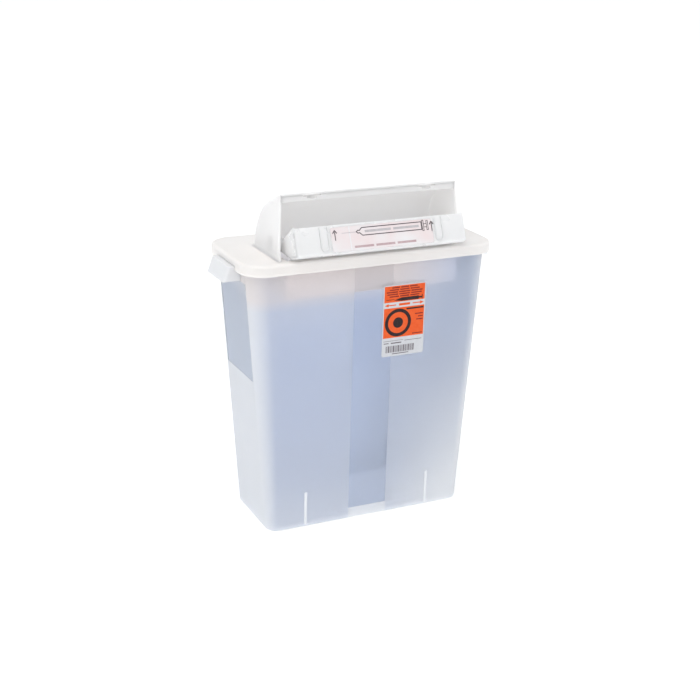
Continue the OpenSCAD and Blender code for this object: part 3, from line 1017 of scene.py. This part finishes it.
def area_light(name, place, target, size, power, colour=(1, 1, 1)):
    data = bpy.data.lights.new(name, "AREA")
    data.shape = "SQUARE"
    data.size = size
    data.energy = power
    data.color = colour
    light = bpy.data.objects.new(name, data)
    light.location = place
    light.rotation_mode = "QUATERNION"
    light.rotation_quaternion = (Vector(target) - Vector(place)).to_track_quat("-Z", "Y")
    bpy.context.scene.collection.objects.link(light)


def make_lights():
    world = bpy.data.worlds.new("studio")
    bpy.context.scene.world = world
    world.use_nodes = True
    background = world.node_tree.nodes["Background"]
    background.inputs["Color"].default_value = (0.97, 0.985, 1.0, 1)
    background.inputs["Strength"].default_value = 0.8
    area_light("key", (-0.9, -0.6, 2.4), (0, 0, 0.2), 1.6, 20, (1.0, 0.99, 0.97))
    area_light("fill", (2.2, -1.2, 1.2), (0, 0, 0.2), 1.8, 5)


make_camera()
make_lights()
make_stage()
bpy.context.scene.view_settings.view_transform = "Standard"

# Its milky colour also serves as painted light on the tub's right side, and it takes the painted
# warm light under the lid
frosted = plastic("frosted_plastic", (0.765, 0.815, 0.925), (0.745, 0.795, 0.91), 0.6, 0.85,
                  mottle=6, milk_and_painted_light=(0.90, 0.92, 0.955))
clear = plastic("clear_plastic", (0.67, 0.75, 0.885), (0.655, 0.735, 0.875), 0.12, 0.95,
                rough_span=0.03)
grip_white = plastic("grip_plastic", (0.88, 0.89, 0.92), (0.86, 0.87, 0.90), 0.4, 0.15,
                     scatter=0.006)
rib_white = plastic("rib_plastic", (0.80, 0.82, 0.86), (0.78, 0.80, 0.84), 0.4)
window_clear = plastic("window_plastic", (0.635, 0.70, 0.835), (0.62, 0.685, 0.825), 0.12, 0.95,
                       rough_span=0.03, milk_and_painted_light=(0.82, 0.88, 1.0), block=0.0)
white = plastic("lid_plastic", (0.85, 0.815, 0.79), (0.82, 0.785, 0.76), 0.38, scatter=0.004)
chute_white = plastic("chute_plastic", (0.95, 0.92, 0.90), (0.93, 0.90, 0.88), 0.45, glow=0.2)
milky = plastic("hood_plastic", (0.92, 0.895, 0.88), (0.905, 0.88, 0.865), 0.4, scatter=0.012,
                glow=0.03)
tray_clear = plastic("tray_plastic", (0.955, 0.955, 0.96), (0.94, 0.94, 0.95), 0.3, 0.1,
                     scatter=0.008, glow=0.04)
pin_white = plastic("pin_plastic", (0.92, 0.92, 0.91), (0.88, 0.88, 0.87), 0.3)
film = plastic("film_clear", (0.80, 0.805, 0.82), (0.80, 0.685, 0.69), 0.15, mottle=30)
seam = ink("film_edge", (0.80, 0.79, 0.81), (0.77, 0.76, 0.78), 0.3)
black = ink("film_black", (0.06, 0.045, 0.055), (0.12, 0.1, 0.11))
grey = ink("film_grey", (0.48, 0.45, 0.47), (0.58, 0.55, 0.57))
red = ink("film_red", (0.50, 0.36, 0.38), (0.58, 0.45, 0.47))
paper = ink("label_paper", (0.63, 0.64, 0.67), (0.58, 0.59, 0.62))
orange = ink("label_orange", (0.78, 0.10, 0.018), (0.82, 0.13, 0.03))
dark = ink("label_dark", (0.022, 0.012, 0.014), (0.04, 0.025, 0.025))
maroon = ink("label_maroon", (0.22, 0.02, 0.015), (0.34, 0.04, 0.02))
code_grey = ink("label_grey", (0.12, 0.10, 0.12), (0.22, 0.19, 0.21))

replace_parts(make_tub(frosted, window_clear, clear), "container_body")
make_grip("grip_left", -1, grip_white)
make_grip("grip_right", 1, grip_white)
make_ribs(rib_white)
dress("lid_deck", white, 0.3)
dress("throat_chute", chute_white, 0.4)
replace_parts(make_hood(milky), "hood")
make_band(milky)
make_bosses(milky)
lathe("hood_bearings", [(BEARING_X[0], PIN_R + 0.1), (BEARING_X[0], BEARING_R - 0.4),
                        (BEARING_X[0] + 0.4, BEARING_R), (BEARING_X[1], BEARING_R),
                        (BEARING_X[1], PIN_R + 0.1)], PIVOT, milky, "container", "hood_plastic")
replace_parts(make_tray(tray_clear), "drop_tray")
make_tray_ends(tray_clear)
make_apron(tray_clear)
make_tongues(tray_clear)
lathe("tray_sockets", [(SOCKET_X[0], PIN_R), (SOCKET_X[0], BOSS_R - 0.5),
                       (SOCKET_X[0] + 0.5, BOSS_R), (SOCKET_X[1] - 0.4, BOSS_R),
                       (SOCKET_X[1], BOSS_R - 0.4), (SOCKET_X[1], PIN_R)], PIVOT, tray_clear,
      "tray", "tray_plastic")
dress("pivot_pin_left", pin_white, 0.3)
dress("pivot_pin_right", pin_white, 0.3)
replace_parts(make_film(film, black, grey, red, seam), "tray_film")
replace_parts(make_label(paper, orange, dark, maroon, code_grey), "front_label")
